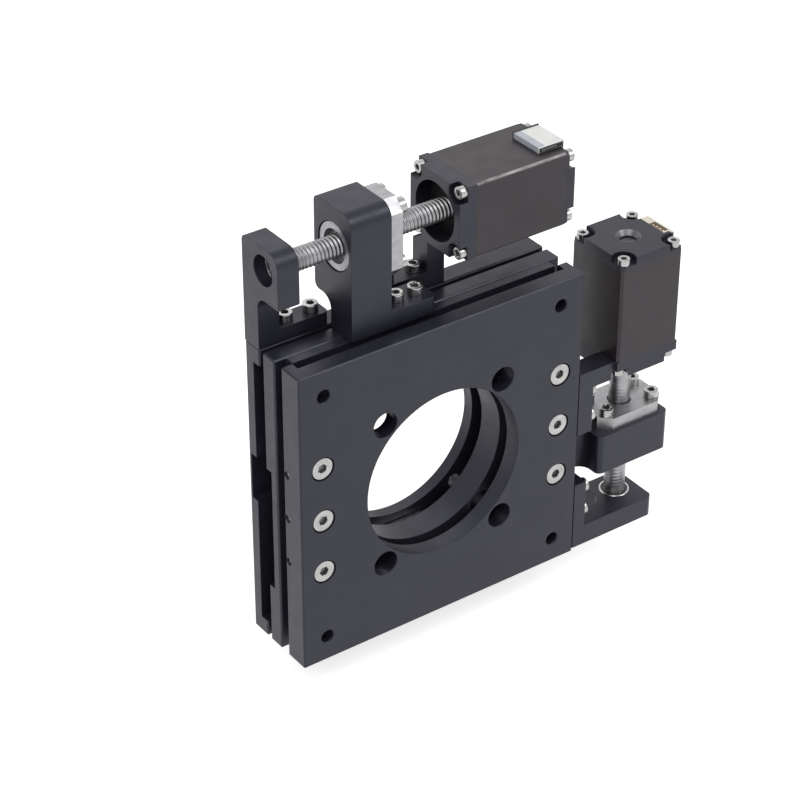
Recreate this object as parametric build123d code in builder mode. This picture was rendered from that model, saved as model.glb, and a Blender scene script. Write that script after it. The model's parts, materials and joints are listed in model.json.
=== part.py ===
"""Two-axis motorised aperture stage: three stacked plates, crossed-roller guides, two screw drives."""
import os
from math import radians, sqrt, tan

from build123d import *

os.makedirs("parts", exist_ok=True)

# Frame: the origin is the centre of the aperture on the rear face of the back plate.
# +X is the travel of the horizontal axis, +Z is up, and -Y looks out of the front plate.

# ---------------------------------------------------------------- driving dimensions, mm
# Plates
plate_width = 120.0
plate_height = 120.0
back_thickness = 8.5
back_gap = 2.0  # rim of the back plate to the middle plate
middle_thickness = 6.9
land_height = 3.7  # raised land on the front of the middle plate
front_gap = 4.2  # middle plate to the rim of the front plate
front_thickness = 10.2
back_pocket = 3.8
front_pocket = 3.8
land_clearance = 0.7  # each side of the land inside the front plate's channel
front_rim = 4.2
aperture_radius = 32.5
edge_break = 0.5

# Holes in the plates
payload_inset = 10.0  # from each edge of the plate
payload_hole_radius = 2.5
base_pitch_x = 50.0
base_pitch_z = 58.0
base_hole_radius = 2.75
access_hole_radius = 4.8
bore_chamfer = 0.25
payload_chamfer = 0.4

# Crossed-roller guides
travel = 15.0  # each way from the centre
rail_length = 65.0
rail_width = 8.5
rail_face_gap = 0.7  # between the two rails of a pair
rail_top_gap = 0.35  # free side of a rail to the plate it faces
x_rail_lip = 6.5  # edge of the back plate to the horizontal pair
z_rail_side_gap = 1.4  # rim of the front plate to the vertical pair
rail_screw_inset = 3.6  # from the outer side of a rail
x_rail_screw_pitch = 24.0
z_rail_screw_pitch = 21.4
roller_diameter = 3.0
roller_length = 2.8
roller_clearance = 0.03
roller_count = 7
roller_pitch = 6.6
cage_thickness = 0.35
cage_height = 5.2
cage_window_clearance = 0.1

# Cap screws that hold the rails in their counterbores (2.5 mm thread)
rail_screw_radius = 1.25
rail_screw_clearance = 0.1
rail_screw_head_radius = 2.25
rail_screw_head_height = 2.5
rail_counterbore_clearance = 0.2
rail_counterbore_depth = 2.6
rail_screw_engagement = 4.0

# Cap screws of the drives (3 mm thread)
screw_radius = 1.5
screw_clearance_radius = 1.7
screw_head_radius = 2.75
screw_head_height = 3.0
plate_engagement = 5.0
screw_tip_gap = 0.2

# Low-head screws that hold the moving rails of the vertical axis (5 mm thread)
face_screw_radius = 2.5
face_screw_head_radius = 4.2
face_screw_head_height = 3.4
face_counterbore_radius = 4.6
face_counterbore_depth = 3.6
face_screw_grip = 5.5  # into the rail

# Set screws that press the left moving rail
preload_pitch = 18.0
preload_depth = 8.2  # from the front face
preload_recess = 0.7

# Lead screws, their nuts and bearings
screw_thread_radius = 4.0
journal_radius = 3.0
running_clearance = 0.05
screw_seat_length = 14.0  # how far the screw is pressed into the rotor
nut_barrel_radius = 8.6
nut_barrel_length = 15.8
nut_barrel_clearance = 0.35
nut_countersink = 0.5
nut_end_bore_radius = 6.2
nut_end_bore_depth = 2.6
flange_thickness = 5.0
flange_width = 19.7
flange_height = 29.8
flange_corner = 4.4
flange_screw_v = 5.6
flange_screw_w = 10.7
flange_screw_grip = 6.0
bearing_outer_radius = 6.0
bearing_outer_wall = 0.9
bearing_inner_wall = 0.9
bearing_width = 4.0
shield_thickness = 0.25
shield_gap = 0.1
bracket_exit_radius = 5.6

# Drive brackets. v runs inwards from the face that the bracket is flush with, w outwards from the
# edge of the plate and s along the screw, from the motor towards the end bracket.
axis_v = 12.5
x_axis_w = 32.2
z_axis_w = 30.0
z_drive_lift = 1.4
foot_depth = 8.5
inner_corner = 4.8
outer_corner = 5.4
back_corner = 2.4
foot_corner = 1.8
end_thickness = 8.4
end_depth = 21.0
end_relief = 20.9
end_above_axis = 8.5
end_foot_length = 19.8
end_foot_height = 5.3
end_foot_screws = (15.1, 4.8)  # from the inner face of the bracket
nut_near = 16.2
nut_thickness = 16.2
nut_web_v = 10.6
nut_head_v = 1.2
nut_depth = 22.9
nut_relief = 11.8
nut_above_axis = 14.9
nut_foot_length = 18.6
nut_foot_height = 6.5
nut_foot_v = 17.0
nut_foot_screws = (2.4, 10.3)
motor_plate_near = -9.0
motor_plate_thickness = 7.2
motor_foot_length = 18.8
motor_foot_height = 6.5
motor_foot_screws = (-6.0, 5.4)
motor_opening_wall = 3.0  # opening to the sides of the bracket

# Motors
motor_width = 28.0
motor_length = 38.0
motor_edge = 0.9
cap_length = 3.8
cap_edge = 1.1
motor_screw_inset = 2.5  # from the sides of the motor
motor_screw_radius = 1.25
motor_screw_clearance_radius = 1.4
motor_screw_head_radius = 2.25
motor_screw_head_height = 2.5
motor_screw_grip = 4.4
cap_screw_grip = 6.0
mount_notch_radius = 3.9
mount_notch_depth = 3.4
cap_notch_radius = 4.5
cap_notch_depth = 2.6
pilot_clearance = 0.1
pilot_height = 1.8
rotor_wall = 5.0  # rotor to the sides of the motor
rotor_air_gap = 0.3
rotor_length = 28.0
rotor_stub_radius = 3.0
rotor_stub_length = 2.4
front_wall = 3.6
shaft_recess_radius = 3.0
shaft_recess_depth = 2.4
shaft_recess_bevel = 1.7
connector_length = 10.9
connector_width = 14.4
connector_rise = 2.4  # above the side of the motor
connector_sink = 2.4
connector_v = 13.8
connector_inset = 0.9
connector_wall = 0.8
connector_mouth_depth = 9.5

# Pockets in the left edge
switch_slot_bottom = -3.5
switch_slot_top = 14.9
switch_slot_length = 16.8
switch_slot_floor = 1.4
flag_recess_bottom = -35.6
flag_recess_top = 13.8
flag_recess_length = 14.4
flag_recess_depth = 3.5

# ---------------------------------------------------------------- places that follow from them
half_width = plate_width / 2
half_height = plate_height / 2
back_front_y = -back_thickness
back_floor_y = back_front_y + back_pocket
middle_back_y = back_front_y - back_gap
middle_front_y = middle_back_y - middle_thickness
land_y = middle_front_y - land_height
front_back_y = middle_front_y - front_gap
front_floor_y = front_back_y - front_pocket
front_y = front_back_y - front_thickness

x_separation = back_floor_y - middle_back_y
z_separation = middle_front_y - front_floor_y
x_rail_outer = half_height - x_rail_lip
z_rail_outer = half_width - front_rim - z_rail_side_gap
channel_side = roller_diameter + 2 * roller_clearance
vee_depth = (channel_side * sqrt(2) - rail_face_gap) / 2
pair_width = 2 * rail_width + rail_face_gap

# Travel of the horizontal guide runs along X and of the vertical guide along Z.
x_rail_inner = x_rail_outer - pair_width
z_rail_inner = z_rail_outer - pair_width
cage_length = roller_count * roller_pitch
preload_spots = [-preload_pitch, 0.0, preload_pitch]

X_DRIVE = Plane(origin=(0, 0, half_height), x_dir=(0, -1, 0), z_dir=(-1, 0, 0))
Z_DRIVE = Plane(origin=(half_width, front_y, z_drive_lift), x_dir=(0, 1, 0), z_dir=(0, 0, -1))
x_end_inner = half_width - end_thickness
z_end_inner = half_height - end_thickness
drives = {"x": (X_DRIVE, x_axis_w, x_end_inner), "z": (Z_DRIVE, z_axis_w, z_end_inner)}
motor_screw_offset = motor_width / 2 - motor_screw_inset
motor_opening_radius = motor_width / 2 - motor_opening_wall
pilot_radius = motor_opening_radius - pilot_clearance
rotor_radius = motor_width / 2 - rotor_wall
motor_near = motor_plate_near - motor_plate_thickness
motor_far = motor_near - motor_length
cap_far = motor_far - cap_length
flange_near = nut_near - flange_thickness
rotor_near = motor_near - front_wall - rotor_air_gap
rotor_far = rotor_near - rotor_length


def save(piece, name):
    piece.label = name
    export_step(piece, f"parts/{name}.step")


def corner(sketch, x, y):
    return sketch.vertices().sort_by_distance((x, y, 0))[0]


def screws(seat, spots, head_radius, head_height, radius, length, side=1):
    """Cap screws with their heads on one side of the plane seat and their shanks on the other."""
    with BuildPart() as group:
        with BuildSketch(seat):
            with Locations(*spots):
                Circle(head_radius)
        extrude(amount=side * head_height)
        with BuildSketch(seat):
            with Locations(*spots):
                Circle(radius)
        extrude(amount=-side * length)
    return group.part


def drive_screws(seat, spots, length, side=1):
    return screws(seat, spots, screw_head_radius, screw_head_height, screw_radius, length, side)


def motor_screws(seat, spots, length, side=1):
    return screws(seat, spots, motor_screw_head_radius, motor_screw_head_height, motor_screw_radius, length, side)


def rail_screws(seat, spots, length):
    return screws(seat, spots, rail_screw_head_radius, rail_screw_head_height, rail_screw_radius, length)


def holes(seat, spots, radius, depth):
    """Cuts round holes from the plane seat into the part under construction."""
    with BuildSketch(seat) as rounds:
        with Locations(*spots):
            Circle(radius)
    extrude(rounds.sketch, amount=-depth, mode=Mode.SUBTRACT)


def facing_front(y):
    """Plane at depth y that faces the viewer: local x is +X and local y is +Z."""
    return Plane(origin=(0, y, 0), x_dir=(1, 0, 0), z_dir=(0, -1, 0))


def facing_back(y):
    """Plane at depth y that faces the rear: local x is -X and local y is +Z."""
    return Plane(origin=(0, y, 0), x_dir=(-1, 0, 0), z_dir=(0, 1, 0))


def above_edge(drive, w):
    """Plane parallel to the plate's edge, w outside it: local x is v and local y is -s."""
    return Plane(origin=drive.from_local_coords((0, w, 0)), x_dir=drive.x_dir, z_dir=drive.y_dir)


def foot_spots(v, stations):
    return [(v, -s) for s in stations]


def end_foot_spots(end_inner):
    return foot_spots(foot_depth / 2, [end_inner - inset for inset in end_foot_screws])


base_x = base_pitch_x / 2
base_z = base_pitch_z / 2
base_spots = [(x, z) for x in (-base_x, base_x) for z in (-base_z, base_z)]
payload_x = half_width - payload_inset
payload_z = half_height - payload_inset
payload_spots = [(x, z) for x in (-payload_x, payload_x) for z in (-payload_z, payload_z)]
motor_foot_spots = foot_spots(foot_depth / 2, motor_foot_screws)
nut_foot_spots = foot_spots(nut_foot_v, nut_foot_screws)

x_rail_stations = [-x_rail_screw_pitch, 0.0, x_rail_screw_pitch]
z_rail_stations = [-z_rail_screw_pitch, 0.0, z_rail_screw_pitch]
x_fixed_line = x_rail_outer - rail_screw_inset
x_moving_line = x_rail_inner + rail_screw_inset
z_fixed_line = z_rail_inner + rail_screw_inset
z_moving_line = z_rail_outer - rail_screw_inset
x_fixed_spots = [(x, z) for z in (-x_fixed_line, x_fixed_line) for x in x_rail_stations]
x_moving_spots = [(x, z) for z in (-x_moving_line, x_moving_line) for x in x_rail_stations]
z_fixed_spots = [(x, z) for x in (-z_fixed_line, z_fixed_line) for z in z_rail_stations]
z_moving_spots = [(x, z) for x in (-z_moving_line, z_moving_line) for z in z_rail_stations]

x_rail_height = x_separation - rail_top_gap
z_rail_height = z_separation - rail_top_gap
rail_counterbore_radius = rail_screw_head_radius + rail_counterbore_clearance
rail_tapping_depth = rail_screw_engagement + 0.2

# ---------------------------------------------------------------- back plate
with BuildPart() as back_plate:
    with BuildSketch(facing_front(0)):
        Rectangle(plate_width, plate_height)
    extrude(amount=back_thickness)
    chamfer(back_plate.edges(), edge_break)
    with BuildSketch(facing_front(back_front_y)):
        Rectangle(plate_width, 2 * x_rail_outer + 2 * roller_clearance)
    extrude(amount=-back_pocket, mode=Mode.SUBTRACT)
    with BuildSketch(facing_front(back_front_y)):
        with Locations((-half_width + switch_slot_length / 2, (switch_slot_bottom + switch_slot_top) / 2)):
            Rectangle(switch_slot_length, switch_slot_top - switch_slot_bottom)
    extrude(amount=switch_slot_floor - back_thickness, mode=Mode.SUBTRACT)
    holes(facing_front(back_front_y), [(0, 0)], aperture_radius, back_thickness)
    holes(facing_front(back_front_y), base_spots, base_hole_radius, back_thickness)
    holes(facing_front(back_floor_y), x_fixed_spots, rail_screw_radius, rail_tapping_depth)
    tapped = end_foot_spots(x_end_inner) + motor_foot_spots
    holes(above_edge(X_DRIVE, 0), tapped, screw_radius, plate_engagement)
save(back_plate.part, "back_plate")

# ---------------------------------------------------------------- middle plate
land_width = 2 * (half_width - front_rim - land_clearance)
moving_rail_room = rail_length + 2 * travel + 2 * rail_top_gap
with BuildPart() as middle_plate:
    with BuildSketch(facing_front(middle_back_y)):
        Rectangle(plate_width, plate_height)
    extrude(amount=middle_thickness)
    chamfer(middle_plate.edges(), edge_break)
    with BuildSketch(facing_front(middle_front_y)):
        Rectangle(land_width, plate_height - 2 * edge_break)
        for side in (-1, 1):
            with Locations((side * (z_rail_inner + rail_width / 2), 0)):
                Rectangle(rail_width, rail_length + 2 * roller_clearance, mode=Mode.SUBTRACT)
            with Locations((side * (z_rail_inner + rail_width + half_width) / 2, 0)):
                Rectangle(half_width - z_rail_inner - rail_width, moving_rail_room, mode=Mode.SUBTRACT)
    extrude(amount=land_height)
    with BuildSketch(facing_back(middle_back_y)):
        with Locations((half_width - flag_recess_length / 2, (flag_recess_bottom + flag_recess_top) / 2)):
            Rectangle(flag_recess_length, flag_recess_top - flag_recess_bottom)
    extrude(amount=-flag_recess_depth, mode=Mode.SUBTRACT)
    holes(facing_front(land_y), [(0, 0)], aperture_radius, land_height + middle_thickness)
    holes(facing_front(land_y), base_spots, access_hole_radius, land_height + middle_thickness)
    holes(facing_front(middle_front_y), z_fixed_spots, rail_screw_radius, rail_tapping_depth)
    holes(facing_back(middle_back_y), x_moving_spots, rail_screw_radius, rail_tapping_depth)
    holes(above_edge(X_DRIVE, 0), nut_foot_spots, screw_radius, plate_engagement)
    holes(above_edge(Z_DRIVE, 0), nut_foot_spots, screw_radius, plate_engagement)
save(middle_plate.part, "middle_plate")

# ---------------------------------------------------------------- front plate
left_edge = Plane(origin=(-half_width, front_y, 0), x_dir=(0, 1, 0), z_dir=(-1, 0, 0))
with BuildPart() as front_plate:
    with BuildSketch(facing_front(front_back_y)):
        Rectangle(plate_width, plate_height)
    extrude(amount=front_thickness)
    chamfer(front_plate.edges(), edge_break)
    with BuildSketch(facing_back(front_back_y)):
        Rectangle(plate_width - 2 * front_rim, plate_height)
    extrude(amount=-front_pocket, mode=Mode.SUBTRACT)
    holes(facing_front(front_y), [(0, 0)], aperture_radius, front_thickness)
    holes(facing_front(front_y), base_spots, access_hole_radius, front_thickness)
    holes(facing_front(front_y), payload_spots, payload_hole_radius, front_thickness)
    holes(facing_front(front_y), z_moving_spots, face_counterbore_radius, face_counterbore_depth)
    holes(facing_front(front_y), z_moving_spots, face_screw_radius, front_thickness)
    rims = front_plate.edges().filter_by(GeomType.CIRCLE).group_by(Axis.Y)[0]
    chamfer([rim for rim in rims if rim.radius < payload_hole_radius + edge_break], payload_chamfer)
    rims = front_plate.edges().filter_by(GeomType.CIRCLE).group_by(Axis.Y)[0]
    chamfer([rim for rim in rims if rim.radius > face_counterbore_radius + edge_break / 4], bore_chamfer)
    holes(left_edge, [(preload_depth, z) for z in preload_spots], screw_radius, front_rim)
    tapped = end_foot_spots(z_end_inner) + motor_foot_spots
    holes(above_edge(Z_DRIVE, 0), tapped, screw_radius, plate_engagement)
save(front_plate.part, "front_plate")


# ---------------------------------------------------------------- crossed-roller guides
def rail(start, height, separation, stations, counterbored):
    """Rail from the plane start, whose x points from the vee to the outer side and y from the seat."""
    vee_height = separation / 2
    with BuildPart() as block:
        with BuildSketch(start):
            with Locations((rail_width / 2, height / 2)):
                Rectangle(rail_width, height)
            with BuildLine():
                Polyline(
                    (0, vee_height - vee_depth),
                    (vee_depth, vee_height),
                    (0, vee_height + vee_depth),
                    close=True,
                )
            make_face(mode=Mode.SUBTRACT)
        extrude(amount=rail_length)
        top = Plane(origin=start.from_local_coords((rail_width - rail_screw_inset, height, rail_length / 2)),
                    x_dir=start.z_dir, z_dir=start.y_dir)
        spots = [(station, 0) for station in stations]
        if counterbored:
            holes(top, spots, rail_screw_radius + rail_screw_clearance, height)
            holes(top, spots, rail_counterbore_radius, rail_counterbore_depth)
        else:
            base = Plane(origin=top.from_local_coords((0, 0, -height)), x_dir=top.x_dir, z_dir=-top.z_dir)
            holes(base, spots, face_screw_radius, face_screw_grip)
    return block.part


def roller_set(start, centre_height):
    """Rollers that cross alternately at 45 degrees, along the plane start's z."""
    first = rail_length / 2 - (roller_count - 1) * roller_pitch / 2
    with BuildPart() as rollers:
        for index in range(roller_count):
            lean = start.y_dir if index % 2 else -start.y_dir
            centre = start.from_local_coords((0, centre_height, first + index * roller_pitch))
            tilt = Plane(origin=centre, x_dir=start.z_dir, z_dir=start.x_dir + lean)
            with BuildSketch(tilt.offset(-roller_length / 2)):
                Circle(roller_diameter / 2)
            extrude(amount=roller_length)
    return rollers.part


def roller_cage(start, centre_height):
    """Thin strip with a window for each roller, centred in the gap between the rails."""
    strip = Plane(origin=start.from_local_coords((-cage_thickness / 2, centre_height, rail_length / 2)),
                  x_dir=start.z_dir, z_dir=start.x_dir)
    window_width = roller_diameter + 2 * cage_window_clearance
    window_height = (roller_diameter + roller_length) / sqrt(2) + 2 * cage_window_clearance
    with BuildPart() as cage:
        with BuildSketch(strip):
            Rectangle(cage_length, cage_height)
            with GridLocations(roller_pitch, 1, roller_count, 1):
                Rectangle(window_width, window_height, mode=Mode.SUBTRACT)
        extrude(amount=cage_thickness)
    return cage.part


half_rail = rail_length / 2
for side, name in ((1, "upper"), (-1, "lower")):
    fixed_face = side * (x_rail_outer - rail_width)
    moving_face = side * (x_rail_inner + rail_width)
    fixed_start = Plane(origin=(-side * half_rail, back_floor_y, fixed_face), x_dir=(0, 0, side),
                        z_dir=(side, 0, 0))
    moving_start = Plane(origin=(-side * half_rail, middle_back_y, moving_face), x_dir=(0, 0, -side),
                         z_dir=(side, 0, 0))
    gap_start = Plane(origin=(-side * half_rail, back_floor_y, (fixed_face + moving_face) / 2),
                      x_dir=(0, 0, side), z_dir=(side, 0, 0))
    save(rail(fixed_start, x_rail_height, x_separation, x_rail_stations, True), f"x_fixed_rail_{name}")
    save(rail(moving_start, x_rail_height, x_separation, x_rail_stations, True), f"x_moving_rail_{name}")
    save(roller_set(gap_start, x_separation / 2), f"x_rollers_{name}")
    save(roller_cage(gap_start, x_separation / 2), f"x_roller_cage_{name}")

for side, name in ((1, "right"), (-1, "left")):
    fixed_face = side * (z_rail_inner + rail_width)
    moving_face = side * (z_rail_outer - rail_width)
    fixed_start = Plane(origin=(fixed_face, middle_front_y, -side * half_rail), x_dir=(-side, 0, 0),
                        z_dir=(0, 0, side))
    moving_start = Plane(origin=(moving_face, front_floor_y, -side * half_rail), x_dir=(side, 0, 0),
                         z_dir=(0, 0, side))
    gap_start = Plane(origin=((fixed_face + moving_face) / 2, front_floor_y, -side * half_rail),
                      x_dir=(side, 0, 0), z_dir=(0, 0, side))
    save(rail(fixed_start, z_rail_height, z_separation, z_rail_stations, True), f"z_fixed_rail_{name}")
    save(rail(moving_start, z_rail_height, z_separation, z_rail_stations, False), f"z_moving_rail_{name}")
    save(roller_set(gap_start, z_separation / 2), f"z_rollers_{name}")
    save(roller_cage(gap_start, z_separation / 2), f"z_roller_cage_{name}")


fixed_seat = facing_front(back_floor_y - x_rail_height + rail_counterbore_depth)
moving_seat = facing_back(middle_back_y + x_rail_height - rail_counterbore_depth)
x_rail_screw_length = x_rail_height - rail_counterbore_depth + rail_screw_engagement
save(rail_screws(fixed_seat, x_fixed_spots, x_rail_screw_length), "x_fixed_rail_screws")
save(rail_screws(moving_seat, x_moving_spots, x_rail_screw_length), "x_moving_rail_screws")

upright_seat = facing_front(middle_front_y - z_rail_height + rail_counterbore_depth)
z_rail_screw_length = z_rail_height - rail_counterbore_depth + rail_screw_engagement
save(rail_screws(upright_seat, z_fixed_spots, z_rail_screw_length), "z_fixed_rail_screws")

face_seat = facing_front(front_y + face_counterbore_depth)
face_screw_length = front_thickness - face_counterbore_depth - front_pocket + face_screw_grip
face_screws = screws(face_seat, z_moving_spots, face_screw_head_radius, face_screw_head_height,
                     face_screw_radius, face_screw_length)
save(face_screws, "z_moving_rail_screws")

with BuildPart() as preload_screws:
    with BuildSketch(left_edge.offset(-preload_recess)):
        with Locations(*[(preload_depth, z) for z in preload_spots]):
            Circle(screw_radius)
    extrude(amount=z_rail_outer + preload_recess - half_width)
save(preload_screws.part, "z_preload_screws")


# ---------------------------------------------------------------- brackets of the drives
def around_axis(axis_w, step_v, step_w):
    """Four spots placed evenly about the axis of a drive."""
    return [(axis_v + i * step_v, axis_w + j * step_w) for i in (-1, 1) for j in (-1, 1)]


def end_bracket(drive, axis_w, end_inner):
    """Bracket that carries the bearing at the free end of the screw."""
    top = axis_w + end_above_axis
    foot_near = end_inner - end_foot_length
    with BuildPart() as bracket:
        with BuildSketch(drive.offset(end_inner)) as side:
            with BuildLine():
                Polyline(
                    (0, 0),
                    (foot_depth, 0),
                    (foot_depth, end_relief),
                    (end_depth, end_relief),
                    (end_depth, top),
                    (0, top),
                    close=True,
                )
            make_face()
            fillet(corner(side, foot_depth, end_relief), inner_corner)
            fillet(corner(side, end_depth, top), outer_corner)
            fillet(corner(side, 0, top), back_corner)
        extrude(amount=end_thickness)
        with BuildSketch(above_edge(drive, 0)) as base:
            with Locations((foot_depth / 2, -(foot_near + end_inner) / 2)):
                Rectangle(foot_depth, end_foot_length)
            fillet(corner(base, foot_depth, -foot_near), foot_corner)
        extrude(amount=end_foot_height)
        spots = end_foot_spots(end_inner)
        holes(above_edge(drive, end_foot_height), spots, screw_clearance_radius, end_foot_height)
        holes(drive.offset(end_inner), [(axis_v, axis_w)], bracket_exit_radius, -end_thickness)
        holes(drive.offset(end_inner), [(axis_v, axis_w)], bearing_outer_radius, -bearing_width)
    return bracket.part


def nut_bracket(drive, axis_w):
    """Bracket on the middle plate that holds the lead nut."""
    top = axis_w + nut_above_axis
    foot_near = nut_near - nut_foot_length
    nut_face = drive.offset(nut_near)
    with BuildPart() as bracket:
        with BuildSketch(nut_face) as side:
            with BuildLine():
                Polyline(
                    (nut_depth, 0),
                    (nut_web_v, 0),
                    (nut_web_v, nut_relief),
                    (nut_head_v, nut_relief),
                    (nut_head_v, top),
                    (nut_depth, top),
                    close=True,
                )
            make_face()
            fillet(corner(side, nut_web_v, nut_relief), inner_corner)
            fillet(corner(side, nut_depth, top), outer_corner)
            fillet(corner(side, nut_head_v, top), back_corner)
            fillet(corner(side, nut_head_v, nut_relief), back_corner)
        extrude(amount=nut_thickness)
        with BuildSketch(above_edge(drive, 0)) as base:
            with Locations(((nut_web_v + nut_depth) / 2, -(foot_near + nut_near) / 2)):
                Rectangle(nut_depth - nut_web_v, nut_foot_length)
            fillet(corner(base, nut_depth, -foot_near), foot_corner)
        extrude(amount=nut_foot_height)
        holes(above_edge(drive, nut_foot_height), nut_foot_spots, screw_clearance_radius, nut_foot_height)
        holes(nut_face, [(axis_v, axis_w)], nut_barrel_radius + nut_barrel_clearance, -nut_thickness)
        tapped = around_axis(axis_w, flange_screw_v, flange_screw_w)
        holes(nut_face, tapped, screw_radius, -flange_screw_grip)
    return bracket.part


def motor_bracket(drive, axis_w):
    """Bracket between the plate and the motor, open at its corners for the mounting screws."""
    half = motor_width / 2
    far = motor_plate_near
    near = far - motor_plate_thickness
    with BuildPart() as bracket:
        with BuildSketch(drive.offset(near)):
            with Locations((axis_v, axis_w)):
                Rectangle(motor_width, motor_width)
            with Locations((foot_depth / 2, (axis_w - half) / 2)):
                Rectangle(foot_depth, axis_w - half)
        extrude(amount=motor_plate_thickness)
        with BuildSketch(above_edge(drive, 0)) as base:
            with Locations((foot_depth / 2, -(far + motor_foot_length / 2))):
                Rectangle(foot_depth, motor_foot_length)
            fillet(corner(base, foot_depth, -far - motor_foot_length), foot_corner)
        extrude(amount=motor_foot_height)
        foot_top = above_edge(drive, motor_foot_height)
        holes(foot_top, motor_foot_spots, screw_clearance_radius, motor_foot_height)
        holes(drive.offset(near), [(axis_v, axis_w)], motor_opening_radius, -motor_plate_thickness)
        spots = around_axis(axis_w, motor_screw_offset, motor_screw_offset)
        holes(drive.offset(far), spots, mount_notch_radius, mount_notch_depth)
        holes(drive.offset(near), spots, motor_screw_clearance_radius, -motor_plate_thickness)
    return bracket.part


# ---------------------------------------------------------------- motors
def connector_pocket(drive, axis_w):
    """Cuts the place in which the connector is sunk, open at the rear end of the motor."""
    pocket_length = connector_inset + connector_length
    with BuildSketch(above_edge(drive, axis_w + motor_width / 2)) as opening:
        with Locations((connector_v, -(cap_far + pocket_length / 2))):
            Rectangle(connector_width, pocket_length)
    extrude(opening.sketch, amount=-connector_sink, mode=Mode.SUBTRACT)


def motor_body(drive, axis_w):
    """Square motor body with the round pilot on its front and the room for its rotor."""
    with BuildPart() as body:
        with BuildSketch(drive.offset(motor_far)) as square:
            with Locations((axis_v, axis_w)):
                Rectangle(motor_width, motor_width)
            chamfer(square.vertices(), motor_edge)
        extrude(amount=motor_length)
        with BuildSketch(drive.offset(motor_near)):
            with Locations((axis_v, axis_w)):
                Circle(pilot_radius)
        extrude(amount=pilot_height)
        middle = [(axis_v, axis_w)]
        holes(drive.offset(motor_near + pilot_height), middle, screw_thread_radius + running_clearance,
              pilot_height + front_wall)
        holes(drive.offset(rotor_near + rotor_air_gap), middle, rotor_radius + rotor_air_gap,
              rotor_length + 2 * rotor_air_gap)
        holes(drive.offset(rotor_far), middle, rotor_stub_radius + running_clearance,
              rotor_stub_length + rotor_air_gap)
        spots = around_axis(axis_w, motor_screw_offset, motor_screw_offset)
        holes(drive.offset(motor_near), spots, motor_screw_radius, motor_screw_grip + screw_tip_gap)
        holes(drive.offset(motor_far), spots, motor_screw_radius, -cap_screw_grip)
        connector_pocket(drive, axis_w)
    return body.part


def motor_rear_cap(drive, axis_w):
    """Rear cover of the motor with its corner notches and the recess at the shaft."""
    with BuildPart() as cap:
        with BuildSketch(drive.offset(cap_far)) as square:
            with Locations((axis_v, axis_w)):
                Rectangle(motor_width, motor_width)
            chamfer(square.vertices(), cap_edge)
        extrude(amount=cap_length)
        spots = around_axis(axis_w, motor_screw_offset, motor_screw_offset)
        holes(drive.offset(cap_far), spots, cap_notch_radius, -cap_notch_depth)
        holes(drive.offset(cap_far), spots, motor_screw_clearance_radius, -cap_length)
        connector_pocket(drive, axis_w)
        holes(drive.offset(cap_far), [(axis_v, axis_w)], shaft_recess_radius, -shaft_recess_depth)
        centre = drive.from_local_coords((axis_v, axis_w, cap_far))
        rims = cap.edges().filter_by(GeomType.CIRCLE).sort_by_distance(centre)
        chamfer(rims[0], shaft_recess_bevel)
    return cap.part


def motor_rotor(drive, axis_w):
    """Rotor with the rear stub that it turns on, bored for the end of the lead screw."""
    with BuildPart() as rotor:
        with BuildSketch(drive.offset(rotor_far)):
            with Locations((axis_v, axis_w)):
                Circle(rotor_radius)
        extrude(amount=rotor_length)
        with BuildSketch(drive.offset(rotor_far)):
            with Locations((axis_v, axis_w)):
                Circle(rotor_stub_radius)
        extrude(amount=-rotor_stub_length)
        holes(drive.offset(rotor_near), [(axis_v, axis_w)], screw_thread_radius, screw_seat_length)
    return rotor.part


def motor_connector(drive, axis_w):
    """Low socket sunk into the motor, open towards large v above the motor's side."""
    side_w = axis_w + motor_width / 2
    centre_s = cap_far + connector_inset + connector_length / 2
    mouth_height = connector_rise - connector_wall
    mouth_centre = (connector_v + connector_width / 2, side_w + mouth_height / 2, centre_s)
    mouth = Plane(origin=drive.from_local_coords(mouth_centre), x_dir=drive.z_dir, z_dir=drive.x_dir)
    with BuildPart() as socket:
        with BuildSketch(above_edge(drive, side_w - connector_sink)):
            with Locations((connector_v, -centre_s)):
                Rectangle(connector_width, connector_length)
        extrude(amount=connector_sink + connector_rise)
        with BuildSketch(mouth):
            Rectangle(connector_length - 2 * connector_wall, mouth_height)
        extrude(amount=-connector_mouth_depth, mode=Mode.SUBTRACT)
    return socket.part


# ---------------------------------------------------------------- lead screws, nuts and bearings
def lead_screw(drive, axis_w, end_inner):
    """Screw as a bar of its thread's outer size, with the journal that turns in the bearing."""
    screw_far = rotor_near - screw_seat_length
    with BuildPart() as screw:
        with BuildSketch(drive.offset(screw_far)):
            with Locations((axis_v, axis_w)):
                Circle(screw_thread_radius)
        extrude(amount=end_inner - screw_far)
        with BuildSketch(drive.offset(end_inner)):
            with Locations((axis_v, axis_w)):
                Circle(journal_radius)
        extrude(amount=bearing_width)
        chamfer(screw.edges().sort_by(Axis(origin=(0, 0, 0), direction=drive.z_dir))[-1], edge_break)
    return screw.part


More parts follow.
